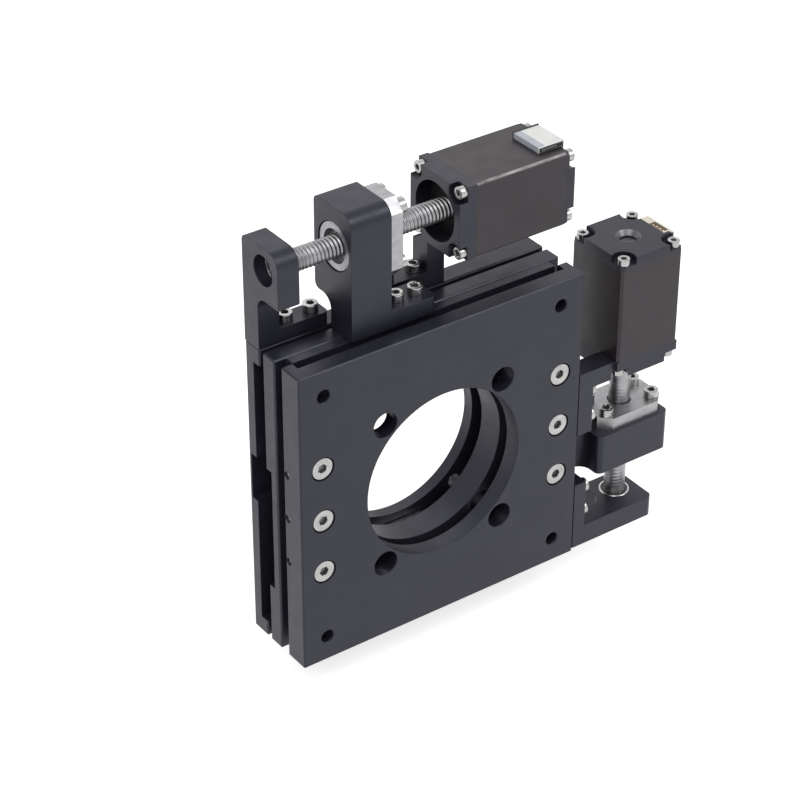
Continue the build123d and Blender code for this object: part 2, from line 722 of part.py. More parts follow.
def lead_nut(drive, axis_w):
    """Flanged nut: the barrel fills the bracket's bore and the flange lies on its face."""
    with BuildPart() as nut:
        with BuildSketch(drive.offset(flange_near)) as flange:
            with Locations((axis_v, axis_w)):
                Rectangle(flange_width, flange_height)
            chamfer(flange.vertices(), flange_corner)
        extrude(amount=flange_thickness)
        with BuildSketch(drive.offset(nut_near)):
            with Locations((axis_v, axis_w)):
                Circle(nut_barrel_radius)
        extrude(amount=nut_barrel_length)
        nut_length = flange_thickness + nut_barrel_length
        bore = screw_thread_radius + running_clearance
        holes(drive.offset(flange_near), [(axis_v, axis_w)], bore, -nut_length)
        tapped = around_axis(axis_w, flange_screw_v, flange_screw_w)
        holes(drive.offset(flange_near), tapped, screw_clearance_radius, -flange_thickness)
        along = Axis(origin=(0, 0, 0), direction=drive.z_dir)
        rims = nut.edges().filter_by(GeomType.CIRCLE)
        bore_rims = rims.filter_by(lambda rim: abs(rim.radius - bore) < running_clearance / 2)
        chamfer(bore_rims.sort_by(along)[0], nut_countersink)
        nut_end = drive.offset(nut_near + nut_barrel_length)
        holes(nut_end, [(axis_v, axis_w)], nut_end_bore_radius, nut_end_bore_depth)
    return nut.part


def bearing_outer_ring(drive, axis_w, end_inner):
    """Outer ring of the ball bearing with the two shields that close it."""
    bore = bearing_outer_radius - bearing_outer_wall
    shield_bore = journal_radius + bearing_inner_wall + shield_gap
    with BuildPart() as ring:
        with BuildSketch(drive.offset(end_inner)):
            with Locations((axis_v, axis_w)):
                Circle(bearing_outer_radius)
                Circle(bore, mode=Mode.SUBTRACT)
        extrude(amount=bearing_width)
        for start in (end_inner, end_inner + bearing_width - shield_thickness):
            with BuildSketch(drive.offset(start)):
                with Locations((axis_v, axis_w)):
                    Circle(bore)
                    Circle(shield_bore, mode=Mode.SUBTRACT)
            extrude(amount=shield_thickness)
    return ring.part


def bearing_inner_ring(drive, axis_w, end_inner):
    """Inner ring on the journal, against the shoulder of the screw."""
    with BuildPart() as ring:
        with BuildSketch(drive.offset(end_inner)):
            with Locations((axis_v, axis_w)):
                Circle(journal_radius + bearing_inner_wall)
                Circle(journal_radius, mode=Mode.SUBTRACT)
        extrude(amount=bearing_width)
    return ring.part


# ---------------------------------------------------------------- the two drives
for axis_name, (drive, axis_w, end_inner) in drives.items():
    flange_pattern = around_axis(axis_w, flange_screw_v, flange_screw_w)
    motor_pattern = around_axis(axis_w, motor_screw_offset, motor_screw_offset)
    end_seat = above_edge(drive, end_foot_height)
    nut_seat = above_edge(drive, nut_foot_height)
    motor_seat = above_edge(drive, motor_foot_height)
    flange_seat = drive.offset(flange_near)
    mount_seat = drive.offset(motor_plate_near - mount_notch_depth)
    rear_seat = drive.offset(cap_far + cap_notch_depth)
    engagement = plate_engagement - screw_tip_gap
    mount_length = motor_plate_thickness - mount_notch_depth + motor_screw_grip
    rear_length = cap_length - cap_notch_depth + cap_screw_grip - screw_tip_gap

    save(end_bracket(drive, axis_w, end_inner), f"{axis_name}_end_bracket")
    save(nut_bracket(drive, axis_w), f"{axis_name}_nut_bracket")
    save(motor_bracket(drive, axis_w), f"{axis_name}_motor_bracket")
    save(drive_screws(end_seat, end_foot_spots(end_inner), end_foot_height + engagement),
         f"{axis_name}_end_bracket_screws")
    save(drive_screws(nut_seat, nut_foot_spots, nut_foot_height + engagement),
         f"{axis_name}_nut_bracket_screws")
    save(drive_screws(motor_seat, motor_foot_spots, motor_foot_height + engagement),
         f"{axis_name}_motor_bracket_screws")
    save(drive_screws(flange_seat, flange_pattern, flange_thickness + flange_screw_grip - screw_tip_gap, -1),
         f"{axis_name}_lead_nut_screws")
    save(motor_screws(mount_seat, motor_pattern, mount_length), f"{axis_name}_motor_mount_screws")
    save(motor_screws(rear_seat, motor_pattern, rear_length, -1), f"{axis_name}_motor_rear_screws")
    save(motor_body(drive, axis_w), f"{axis_name}_motor_body")
    save(motor_rear_cap(drive, axis_w), f"{axis_name}_motor_rear_cap")
    save(motor_rotor(drive, axis_w), f"{axis_name}_motor_rotor")
    save(motor_connector(drive, axis_w), f"{axis_name}_motor_connector")
    save(lead_screw(drive, axis_w, end_inner), f"{axis_name}_lead_screw")
    save(lead_nut(drive, axis_w), f"{axis_name}_lead_nut")
    save(bearing_outer_ring(drive, axis_w, end_inner), f"{axis_name}_bearing_outer_ring")
    save(bearing_inner_ring(drive, axis_w, end_inner), f"{axis_name}_bearing_inner_ring")
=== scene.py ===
"""Looks of the two-axis motorised aperture stage, in metres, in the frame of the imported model."""
import json
from math import cos, pi, radians, sin

import bmesh
import bpy
from mathutils import Matrix, Vector


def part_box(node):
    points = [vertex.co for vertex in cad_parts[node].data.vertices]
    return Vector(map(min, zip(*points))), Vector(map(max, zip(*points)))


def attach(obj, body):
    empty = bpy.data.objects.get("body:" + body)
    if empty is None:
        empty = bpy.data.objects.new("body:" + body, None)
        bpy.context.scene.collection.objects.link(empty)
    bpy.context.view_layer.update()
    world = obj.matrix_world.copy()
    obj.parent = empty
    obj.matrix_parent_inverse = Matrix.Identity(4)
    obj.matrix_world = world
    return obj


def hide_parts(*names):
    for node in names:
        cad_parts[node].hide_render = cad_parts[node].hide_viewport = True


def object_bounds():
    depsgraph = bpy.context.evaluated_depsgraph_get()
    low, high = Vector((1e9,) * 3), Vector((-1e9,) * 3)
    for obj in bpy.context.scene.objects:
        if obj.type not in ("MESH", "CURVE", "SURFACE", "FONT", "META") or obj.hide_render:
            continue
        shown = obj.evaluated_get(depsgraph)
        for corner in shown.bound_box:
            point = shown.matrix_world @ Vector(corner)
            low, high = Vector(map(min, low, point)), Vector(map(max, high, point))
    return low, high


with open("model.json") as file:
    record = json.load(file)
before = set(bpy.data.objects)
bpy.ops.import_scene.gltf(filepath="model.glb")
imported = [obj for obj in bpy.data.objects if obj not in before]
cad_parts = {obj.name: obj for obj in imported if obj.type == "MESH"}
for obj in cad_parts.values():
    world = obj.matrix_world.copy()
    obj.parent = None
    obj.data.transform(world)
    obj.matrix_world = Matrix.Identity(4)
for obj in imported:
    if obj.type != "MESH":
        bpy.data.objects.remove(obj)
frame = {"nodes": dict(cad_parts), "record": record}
cad_low, cad_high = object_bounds()

MM = 0.001

# ---------------------------------------------------------------- camera
CAMERA_PLACE = Vector((-0.448308, -0.628272, 0.515412))
CAMERA_TARGET = Vector((-0.01914, -0.0318, 0.037188))
CAMERA_ROLL = radians(0.13)
CAMERA_LENS = 116.84  # mm on a 36 mm sensor

camera_data = bpy.data.cameras.new("camera")
camera_data.lens = CAMERA_LENS
camera_data.sensor_width = 36.0
camera_data.clip_start = 0.01
camera = bpy.data.objects.new("camera", camera_data)
bpy.context.collection.objects.link(camera)
look = (CAMERA_TARGET - CAMERA_PLACE).to_track_quat("-Z", "Y").to_matrix().to_4x4()
camera.matrix_world = Matrix.Translation(CAMERA_PLACE) @ look @ Matrix.Rotation(CAMERA_ROLL, 4, "Z")
bpy.context.scene.camera = camera


# ---------------------------------------------------------------- material helpers
def new_material(name):
    """Material with an empty node tree, its Principled shader and its output."""
    material = bpy.data.materials.new(name)
    material.use_nodes = True
    tree = material.node_tree
    tree.nodes.clear()
    output = tree.nodes.new("ShaderNodeOutputMaterial")
    shader = tree.nodes.new("ShaderNodeBsdfPrincipled")
    tree.links.new(shader.outputs["BSDF"], output.inputs["Surface"])
    return material, tree, shader


def noise(tree, scale, detail=3.0, stretch=(1, 1, 1)):
    """Noise in the object's own metres; scale is in features per metre."""
    place = tree.nodes.new("ShaderNodeTexCoord")
    mapping = tree.nodes.new("ShaderNodeMapping")
    mapping.inputs["Scale"].default_value = stretch
    texture = tree.nodes.new("ShaderNodeTexNoise")
    texture.inputs["Scale"].default_value = scale
    texture.inputs["Detail"].default_value = detail
    tree.links.new(place.outputs["Object"], mapping.inputs["Vector"])
    tree.links.new(mapping.outputs["Vector"], texture.inputs["Vector"])
    return texture.outputs["Fac"]


def spread(tree, value, low, high):
    """Maps a noise around a half to the range from low to high."""
    ramp = tree.nodes.new("ShaderNodeMapRange")
    ramp.inputs["From Min"].default_value = 0.3
    ramp.inputs["From Max"].default_value = 0.7
    ramp.inputs["To Min"].default_value = low
    ramp.inputs["To Max"].default_value = high
    tree.links.new(value, ramp.inputs["Value"])
    return ramp.outputs["Result"]


def mix_colours(tree, value, first, second):
    ramp = tree.nodes.new("ShaderNodeValToRGB")
    ramp.color_ramp.elements[0].position = 0.35
    ramp.color_ramp.elements[0].color = (*first, 1)
    ramp.color_ramp.elements[1].position = 0.65
    ramp.color_ramp.elements[1].color = (*second, 1)
    tree.links.new(value, ramp.inputs["Fac"])
    return ramp.outputs["Color"]


def rounded_bump(tree, shader, height, strength, edge):
    """Fine bump over normals that are rounded along sharp edges."""
    bump = tree.nodes.new("ShaderNodeBump")
    bump.inputs["Strength"].default_value = strength
    bump.inputs["Distance"].default_value = 0.02 * MM
    tree.links.new(height, bump.inputs["Height"])
    if edge:
        bevel = tree.nodes.new("ShaderNodeBevel")
        bevel.samples = 6
        bevel.inputs["Radius"].default_value = edge
        tree.links.new(bevel.outputs["Normal"], bump.inputs["Normal"])
    tree.links.new(bump.outputs["Normal"], shader.inputs["Normal"])


def anodised(name, dark, light, rough_low, rough_high, grain, edge, tint, specular=0.42):
    """Dyed anodising on fine-blasted aluminium: slight mottling, fine grain, softly broken edges."""
    material, tree, shader = new_material(name)
    tree.links.new(mix_colours(tree, noise(tree, 45), dark, light), shader.inputs["Base Color"])
    tree.links.new(spread(tree, noise(tree, 160), rough_low, rough_high), shader.inputs["Roughness"])
    shader.inputs["Specular IOR Level"].default_value = specular
    shader.inputs["Specular Tint"].default_value = (*tint, 1)
    rounded_bump(tree, shader, noise(tree, grain, 2), 0.25, edge)
    return material


def add_highlight_and_wear(material, above, level):
    """Painted highlight, broken up like bare-metal wear, along the edge for which z - y is more than above
    and z more than the level.
    """
    tree = material.node_tree
    shader = tree.nodes["Principled BSDF"]
    place = tree.nodes.new("ShaderNodeTexCoord")
    axes = tree.nodes.new("ShaderNodeSeparateXYZ")
    tree.links.new(place.outputs["Object"], axes.inputs["Vector"])
    reach = tree.nodes.new("ShaderNodeMath")
    reach.operation = "SUBTRACT"
    tree.links.new(axes.outputs["Z"], reach.inputs[0])
    tree.links.new(axes.outputs["Y"], reach.inputs[1])
    band = tree.nodes.new("ShaderNodeMapRange")
    band.inputs["From Min"].default_value = above
    band.inputs["From Max"].default_value = above + 0.25 * MM
    tree.links.new(reach.outputs["Value"], band.inputs["Value"])
    patchy = spread(tree, noise(tree, 420, 4, (0.4, 1, 1)), 0.15, 1.0)
    upper = tree.nodes.new("ShaderNodeMapRange")
    upper.inputs["From Min"].default_value = level
    upper.inputs["From Max"].default_value = level + 0.2 * MM
    tree.links.new(axes.outputs["Z"], upper.inputs["Value"])
    edge = tree.nodes.new("ShaderNodeMath")
    edge.operation = "MULTIPLY"
    tree.links.new(band.outputs["Result"], edge.inputs[0])
    tree.links.new(upper.outputs["Result"], edge.inputs[1])
    highlight_wear = tree.nodes.new("ShaderNodeMath")
    highlight_wear.operation = "MULTIPLY"
    tree.links.new(edge.outputs["Value"], highlight_wear.inputs[0])
    tree.links.new(patchy, highlight_wear.inputs[1])
    coat = shader.inputs["Base Color"].links[0].from_socket
    mixed = tree.nodes.new("ShaderNodeMix")
    mixed.data_type = "RGBA"
    tree.links.new(highlight_wear.outputs["Value"], mixed.inputs["Factor"])
    tree.links.new(coat, mixed.inputs[6])
    # Light grey painted highlight, patchy like wear, on the upper half of the chamfer.
    mixed.inputs[7].default_value = (0.42, 0.40, 0.40, 1)
    tree.links.new(mixed.outputs[2], shader.inputs["Base Color"])


def metal(name, dark, light, rough_low, rough_high, stretch, edge, grain=900):
    """Bare metal with faint machining marks drawn out along one direction."""
    material, tree, shader = new_material(name)
    colour = mix_colours(tree, noise(tree, 220, 3, stretch), dark, light)
    tree.links.new(colour, shader.inputs["Base Color"])
    marks = noise(tree, grain, 3, stretch)
    tree.links.new(spread(tree, marks, rough_low, rough_high), shader.inputs["Roughness"])
    shader.inputs["Metallic"].default_value = 1.0
    rounded_bump(tree, shader, marks, 0.3, edge)
    return material


def plastic(name, dark, light, roughness):
    material, tree, shader = new_material(name)
    tree.links.new(mix_colours(tree, noise(tree, 300), dark, light), shader.inputs["Base Color"])
    shader.inputs["Roughness"].default_value = roughness
    rounded_bump(tree, shader, noise(tree, 2500, 2), 0.2, 0.1 * MM)
    return material


COOL = (0.84, 0.86, 1.0)
WARM = (0.98, 0.93, 1.0)
BLACK = anodised("black_anodised", (0.011, 0.011, 0.018), (0.015, 0.015, 0.023),
                 0.34, 0.44, 5000, 0.3 * MM, COOL)
MOTOR_LOOK = ((0.012, 0.009, 0.011), (0.019, 0.014, 0.017), 0.30, 0.42, 2500, 0.35 * MM, WARM)
MOTOR_BLACK = anodised("motor_black", *MOTOR_LOOK)
MOTOR_WEAR_AND_HIGHLIGHT = anodised("motor_wear_and_highlight", *MOTOR_LOOK)
CAP_BLACK = anodised("cap_black", (0.011, 0.011, 0.017), (0.016, 0.016, 0.023),
                     0.34, 0.44, 4000, 0.35 * MM, COOL)
FASTENER = metal("fastener_steel", (0.36, 0.355, 0.35), (0.46, 0.455, 0.45), 0.22, 0.34, (1, 1, 1), 0)
THREAD = metal("thread_steel", (0.28, 0.28, 0.29), (0.38, 0.38, 0.39), 0.36, 0.46, (1, 1, 1), 0)
NUT = metal("nut_steel", (0.30, 0.30, 0.31), (0.36, 0.36, 0.37), 0.32, 0.42, (1, 2, 2), 0.2 * MM, 300)
RAIL = metal("rail_steel", (0.36, 0.36, 0.37), (0.46, 0.46, 0.47), 0.20, 0.32, (1, 1, 12), 0.15 * MM)
BEARING = metal("bearing_steel", (0.44, 0.44, 0.45), (0.56, 0.56, 0.57), 0.16, 0.26, (1, 1, 1), 0.1 * MM)
ROTOR = metal("rotor_steel", (0.30, 0.30, 0.31), (0.38, 0.38, 0.39), 0.30, 0.45, (1, 1, 1), 0.1 * MM)
CAGE = metal("cage_brass", (0.50, 0.38, 0.18), (0.60, 0.47, 0.24), 0.28, 0.40, (1, 1, 1), 0)
HOLLOW = metal("socket_shade", (0.24, 0.24, 0.24), (0.32, 0.32, 0.32), 0.40, 0.55, (1, 1, 1), 0)
SOCKET_GREY = plastic("socket_grey", (0.34, 0.35, 0.37), (0.40, 0.41, 0.43), 0.42)
SOCKET_BEIGE = plastic("socket_beige", (0.72, 0.65, 0.55), (0.80, 0.74, 0.65), 0.42)
WHITE_PLASTIC = plastic("white_plastic", (0.74, 0.74, 0.73), (0.80, 0.80, 0.79), 0.45)
# Pale blue painted reflection on the left third of the X socket.
REFLECTION_BLUE = plastic("pale_blue_painted_reflection", (0.42, 0.44, 0.49), (0.48, 0.50, 0.55), 0.42)
# Brown painted shade inside the Z header's window.
BROWN_PAINTED_SHADE = plastic("brown_painted_shade", (0.28, 0.23, 0.17), (0.36, 0.30, 0.23), 0.5)
# Dark grey painted shade on the X socket's front frame and mouth walls.
FRAME_PAINTED_SHADE = plastic("frame_painted_shade", (0.09, 0.09, 0.095), (0.13, 0.13, 0.135), 0.5)
SEAL = plastic("bearing_seal", (0.025, 0.024, 0.024), (0.035, 0.034, 0.033), 0.45)
# Near-black painted shade for the inside of the X socket's mouth, its back strip and the side of the Z
# header.
SOCKET_PAINTED_SHADE = plastic("socket_painted_shade", (0.012, 0.012, 0.012), (0.018, 0.018, 0.018), 0.55)
SHADE = plastic("shaded_black", (0.004, 0.004, 0.005), (0.006, 0.006, 0.008), 0.7)
SHADE.node_tree.nodes["Principled BSDF"].inputs["Specular IOR Level"].default_value = 0.15
# Steel darkened with painted shade, for the seat deep in the motor's rear cap.
SEAT_PAINTED_SHADE_STEEL = metal("seat_painted_shade_steel", (0.11, 0.11, 0.12), (0.16, 0.16, 0.17), 0.34, 0.46, (1, 1, 1), 0)
PIN_GOLD = metal("pin_gold", (0.66, 0.56, 0.42), (0.76, 0.67, 0.53), 0.2, 0.3, (1, 1, 1), 0)

SLOT_MATERIALS = {
    "black_anodised": BLACK,
    "rail_steel": RAIL,
    "screw_steel": THREAD,
    "cage": CAGE,
    "bearing_steel": BEARING,
    "fastener_steel": FASTENER,
    "nut_steel": NUT,
    "motor_case": MOTOR_BLACK,
    "motor_cap": CAP_BLACK,
    "rotor": ROTOR,
    "x_socket": SOCKET_GREY,
    "z_socket": SOCKET_BEIGE,
}
node_slots = {entry["node"]: entry["material_slot"] for entry in frame["record"]["subparts"]}
bodies = frame["record"]["behaviour"]["bodies"]
node_bodies = {node: body for body, nodes in bodies.items() for node in nodes}
for node, obj in frame["nodes"].items():
    for slot in obj.material_slots:
        slot.material = SLOT_MATERIALS[node_slots[node]]
motor_low, motor_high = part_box("x_motor_body")
MOTOR_EDGE = 1.0 * MM
# Painted highlight with patchy wear along the upper half of the X motor's top-front chamfer.
add_highlight_and_wear(MOTOR_WEAR_AND_HIGHLIGHT, motor_high[2] - motor_low[1] - 1.25 * MOTOR_EDGE, motor_high[2] - 0.65 * MOTOR_EDGE)
for slot in frame["nodes"]["x_motor_body"].material_slots:
    slot.material = MOTOR_WEAR_AND_HIGHLIGHT


# ---------------------------------------------------------------- mesh helpers
def new_piece(name, mesh, material, body, smooth=35, extra=()):
    """Adds a finished mesh as a piece that rides on a body; extra materials follow the first."""
    piece_data = bpy.data.meshes.new(name)
    bmesh.ops.recalc_face_normals(mesh, faces=mesh.faces)
    mesh.to_mesh(piece_data)
    mesh.free()
    piece = bpy.data.objects.new(name, piece_data)
    bpy.context.collection.objects.link(piece)
    for finish in (material, *extra):
        piece_data.materials.append(finish)
    for polygon in piece_data.polygons:
        polygon.use_smooth = True
    piece_data.set_sharp_from_angle(angle=radians(smooth))
    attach(piece, body)
    return piece


def frame_along(place, direction):
    """Matrix whose local z is the direction and whose origin is the place."""
    return Matrix.Translation(place) @ Vector(direction).to_track_quat("Z", "Y").to_matrix().to_4x4()


def end_frame(node, along, end, side):
    """Frame on the axis of a node, at its low (0) or high (1) end, that looks to the side."""
    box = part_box(node)
    start = (Vector(box[0]) + Vector(box[1])) / 2
    start[along] = box[end][along]
    direction = Vector((0, 0, 0))
    direction[along] = side
    return frame_along(start, direction)


def ring(mesh, matrix, height, radius_at, count):
    """Loop of vertices; radius_at gives the radius for each step."""
    loop = []
    for step in range(count):
        angle = 2 * pi * step / count
        reach = radius_at(step)
        loop.append(mesh.verts.new(matrix @ Vector((reach * cos(angle), reach * sin(angle), height))))
    return loop


def bridge(mesh, first, second, index=0):
    """Faces between two loops, with the material of the index."""
    count = len(first)
    for step in range(count):
        after = (step + 1) % count
        mesh.faces.new((first[step], first[after], second[after], second[step])).material_index = index


def close_loop(mesh, loop, matrix, height, index=0):
    """Fan from a loop to a point on its axis."""
    centre = mesh.verts.new(matrix @ Vector((0, 0, height)))
    count = len(loop)
    for step in range(count):
        mesh.faces.new((loop[step], loop[(step + 1) % count], centre)).material_index = index


def turned(mesh, matrix, profile, count=48):
    """Body of revolution through (radius, height) points; it is closed at both ends."""
    loops = [ring(mesh, matrix, height, lambda step, r=radius: r, count) for radius, height in profile]
    for first, second in zip(loops, loops[1:]):
        bridge(mesh, first, second)
    close_loop(mesh, loops[0], matrix, profile[0][1])
    close_loop(mesh, loops[-1], matrix, profile[-1][1])


def swept_ring(mesh, matrix, profile, count=64):
    """Ring with a closed profile of (radius, height) points."""
    loops = [ring(mesh, matrix, height, lambda step, r=radius: r, count) for radius, height in profile]
    for first, second in zip(loops, loops[1:] + loops[:1]):
        bridge(mesh, first, second)


# ---------------------------------------------------------------- screws with hexagon sockets
KNURLS = 24
FACETS = 2 * KNURLS


def hexagon_radius(step, flat):
    """Distance to the side of a hexagon with half its width across flats equal to flat."""
    angle = (2 * pi * step / FACETS) % (pi / 3) - pi / 6
    return flat / cos(angle)


def socket_screw(mesh, matrix, radius, height, flat, depth, knurl=0.02, shank=0.0):
    """Head of a cap screw that stands on the matrix's plane, with its socket in the far end."""
    edge = 0.09 * radius
    ridge = lambda step: radius * (1 - knurl * (step % 2))
    loops = [
        ring(mesh, matrix, 0, lambda step: radius - edge / 2, FACETS),
        ring(mesh, matrix, edge / 2, ridge, FACETS),
        ring(mesh, matrix, height - 2 * edge, ridge, FACETS),
        ring(mesh, matrix, height - 1.2 * edge, lambda step: radius, FACETS),
        ring(mesh, matrix, height - 0.3 * edge, lambda step: radius - 0.4 * edge, FACETS),
        ring(mesh, matrix, height, lambda step: radius - 1.4 * edge, FACETS),
        ring(mesh, matrix, height, lambda step: 1.22 * flat, FACETS),
        ring(mesh, matrix, height - 0.12 * flat, lambda step: hexagon_radius(step, flat), FACETS),
        ring(mesh, matrix, height - depth, lambda step: hexagon_radius(step, flat), FACETS),
    ]
    for first, second in zip(loops[:-1], loops[1:-1]):
        bridge(mesh, first, second)
    bridge(mesh, loops[-2], loops[-1], 1)
    close_loop(mesh, loops[0], matrix, -shank)
    close_loop(mesh, loops[-1], matrix, height - depth - 0.35 * flat, 1)


def grid_places(node, axis, side, inset, columns, rows):
    """Centres of a grid of heads, worked out from the corners of the node's box."""
    low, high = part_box(node)
    across, up = [other for other in range(3) if other != axis]
    places = []
    for column in range(columns):
        for row in range(rows):
            place = Vector((0, 0, 0))
            place[axis] = high[axis] if side > 0 else low[axis]
            part = column / (columns - 1) if columns > 1 else 0.5
            place[across] = low[across] + inset + part * (high[across] - low[across] - 2 * inset)
            part = row / (rows - 1) if rows > 1 else 0.5
            place[up] = low[up] + inset + part * (high[up] - low[up] - 2 * inset)
            places.append(place)
    return places


def dress_screws(node, axis, side, columns, rows, radius, height, flat, depth, knurl=0.02):
    """Replaces a node of plain cap screws by heads with sockets at the same places."""
    direction = Vector((0, 0, 0))
    direction[axis] = side
    mesh = bmesh.new()
    for index, tip in enumerate(grid_places(node, axis, side, radius, columns, rows)):
        seat = tip - direction * height
        turn = Matrix.Rotation(0.7 * index, 4, "Z")
        socket_screw(mesh, frame_along(seat, direction) @ turn, radius, height, flat, depth, knurl, height)
    piece = new_piece(node + "_dressed", mesh, FASTENER, node_bodies[node],
                      extra=(HOLLOW,))
    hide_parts(node)


HEAD = 2.75 * MM
HEAD_HEIGHT = 3.0 * MM
SOCKET = 1.25 * MM
SOCKET_DEPTH = 1.7 * MM
SMALL_HEAD = 2.25 * MM
SMALL_HEAD_HEIGHT = 2.5 * MM
SMALL_SOCKET = 1.0 * MM
SMALL_SOCKET_DEPTH = 1.4 * MM
FACE_HEAD = 4.2 * MM
FACE_HEAD_HEIGHT = 3.4 * MM
FACE_SOCKET = 1.6 * MM
FACE_SOCKET_DEPTH = 2.0 * MM

# Along each drive: index of its screw's axis and of the axis that points out of the plate's edge.
DRIVES = {"x": (0, 2), "z": (2, 0)}

for drive, (along, outward) in DRIVES.items():
    for node in ("end_bracket_screws", "nut_bracket_screws", "motor_bracket_screws"):
        columns, rows = (2, 1) if drive == "x" else (1, 2)
        dress_screws(f"{drive}_{node}", outward, 1, columns, rows, HEAD, HEAD_HEIGHT, SOCKET, SOCKET_DEPTH)
    dress_screws(f"{drive}_lead_nut_screws", along, 1, 2, 2, HEAD, HEAD_HEIGHT, SOCKET, SOCKET_DEPTH)
    for node, side in (("motor_mount_screws", -1), ("motor_rear_screws", 1)):
        dress_screws(f"{drive}_{node}", along, side, 2, 2,
                     SMALL_HEAD, SMALL_HEAD_HEIGHT, SMALL_SOCKET, SMALL_SOCKET_DEPTH)
dress_screws("z_moving_rail_screws", 1, -1, 2, 3,
             FACE_HEAD, FACE_HEAD_HEIGHT, FACE_SOCKET, FACE_SOCKET_DEPTH, 0)


# ---------------------------------------------------------------- lead screws
PITCH = 1.5 * MM
MAJOR = 4.0 * MM
MINOR = {"x": 3.6 * MM, "z": 3.95 * MM}
JOURNAL = 3.0 * MM
TURN_STEPS = 36
PITCH_STEPS = 10


def thread_radius(step, minor):
    """Radius of the thread at one of the steps along a pitch: crest, flank, root, flank."""
    part = step % PITCH_STEPS / PITCH_STEPS
    rise = abs(2 * part - 1)
    rise = min(max((rise - 0.2) / 0.62, 0), 1)
    return minor + (MAJOR - minor) * rise


def threaded_bar(mesh, matrix, length, minor):
    """Right-hand thread along local z, as a skin whose rows follow the helix."""
    rows = int(length / PITCH * PITCH_STEPS)
    grid = []
    for row in range(rows):
        line = []
        for step in range(TURN_STEPS):
            angle = 2 * pi * step / TURN_STEPS
            reach = thread_radius(row, minor)
            height = PITCH * (row / PITCH_STEPS + step / TURN_STEPS)
            line.append(mesh.verts.new(matrix @ Vector((reach * cos(angle), reach * sin(angle), height))))
        grid.append(line)
    for row in range(rows - 1):
        for step in range(TURN_STEPS):
            if step + 1 < TURN_STEPS:
                after, above = grid[row][step + 1], grid[row + 1][step + 1]
            elif row + PITCH_STEPS + 1 < rows:
                after, above = grid[row + PITCH_STEPS][0], grid[row + PITCH_STEPS + 1][0]
            else:
                continue
            mesh.faces.new((grid[row][step], after, above, grid[row + 1][step]))


def lead_screw(drive, along):
    """Lead screw with its thread, plain shoulder and journal, in place of the plain bar."""
    node = f"{drive}_lead_screw"
    low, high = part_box(node)
    matrix = end_frame(node, along, 0, 1)
    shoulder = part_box(f"{drive}_bearing_inner_ring")[1][along] - low[along]
    minor = MINOR[drive]
    mesh = bmesh.new()
    turned(mesh, matrix, [
        (0.8 * JOURNAL, 0),
        (JOURNAL - 0.3 * MM, 0),
        (JOURNAL, 0.3 * MM),
        (JOURNAL, shoulder),
        (MAJOR - 0.15 * MM, shoulder),
        (MAJOR - 0.15 * MM, shoulder + 0.9 * MM),
        (minor, shoulder + 1.2 * MM),
        (minor, high[along] - low[along]),
    ])
    threaded_bar(mesh, matrix @ Matrix.Translation((0, 0, shoulder + 0.2 * MM)),
                 high[along] - low[along] - shoulder - PITCH - 0.2 * MM, minor)
    piece = new_piece(node + "_threaded", mesh, THREAD, node_bodies[node], 60)
    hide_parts(node)


for drive, (along, outward) in DRIVES.items():
    lead_screw(drive, along)


# ---------------------------------------------------------------- connectors of the motors
def plane_loop(mesh, matrix, height, low, high):
    """Rectangle of four vertices at a height along the matrix's z."""
    spots = [(low[0], low[1]), (high[0], low[1]), (high[0], high[1]), (low[0], high[1])]
    return [mesh.verts.new(matrix @ Vector((x, y, height))) for x, y in spots]


def open_box(mesh, matrix, half, length, window_low, window_high, depth, edge, rim):
    """Box along the matrix's z with softened edges and a mouth in its far end.

    The number rim picks the material round the mouth.
    """
    inner = (half[0] - edge, half[1] - edge)
    steps = [
        (0, inner),
        (edge, half),
        (length - edge, half),
        (length, inner),
    ]
    loops = [plane_loop(mesh, matrix, height, (-x, -y), (x, y)) for height, (x, y) in steps]
    mouth = plane_loop(mesh, matrix, length, window_low, window_high)
    end = plane_loop(mesh, matrix, length - depth, window_low, window_high)
    for first, second in zip(loops, loops[1:]):
        bridge(mesh, first, second)
    bridge(mesh, loops[-1], mouth, rim)
    bridge(mesh, mouth, end, 1)
    mesh.faces.new(loops[0])
    mesh.faces.new(end).material_index = 1


def solid_box(mesh, low, high, edge):
    """Box between two corners with softened edges."""
    middle = (Vector(low) + Vector(high)) / 2
    half = (Vector(high) - Vector(low)) / 2
    bottom = Matrix.Translation((middle.x, middle.y, low[2]))
    loops = [
        plane_loop(mesh, bottom, 0, (edge - half.x, edge - half.y), (half.x - edge, half.y - edge)),
        plane_loop(mesh, bottom, edge, (-half.x, -half.y), (half.x, half.y)),
        plane_loop(mesh, bottom, 2 * half.z - edge, (-half.x, -half.y), (half.x, half.y)),
        plane_loop(mesh, bottom, 2 * half.z,
                   (edge - half.x, edge - half.y), (half.x - edge, half.y - edge)),
    ]
    for first, second in zip(loops, loops[1:]):
        bridge(mesh, first, second)
    mesh.faces.new(loops[0])
    mesh.faces.new(loops[-1])


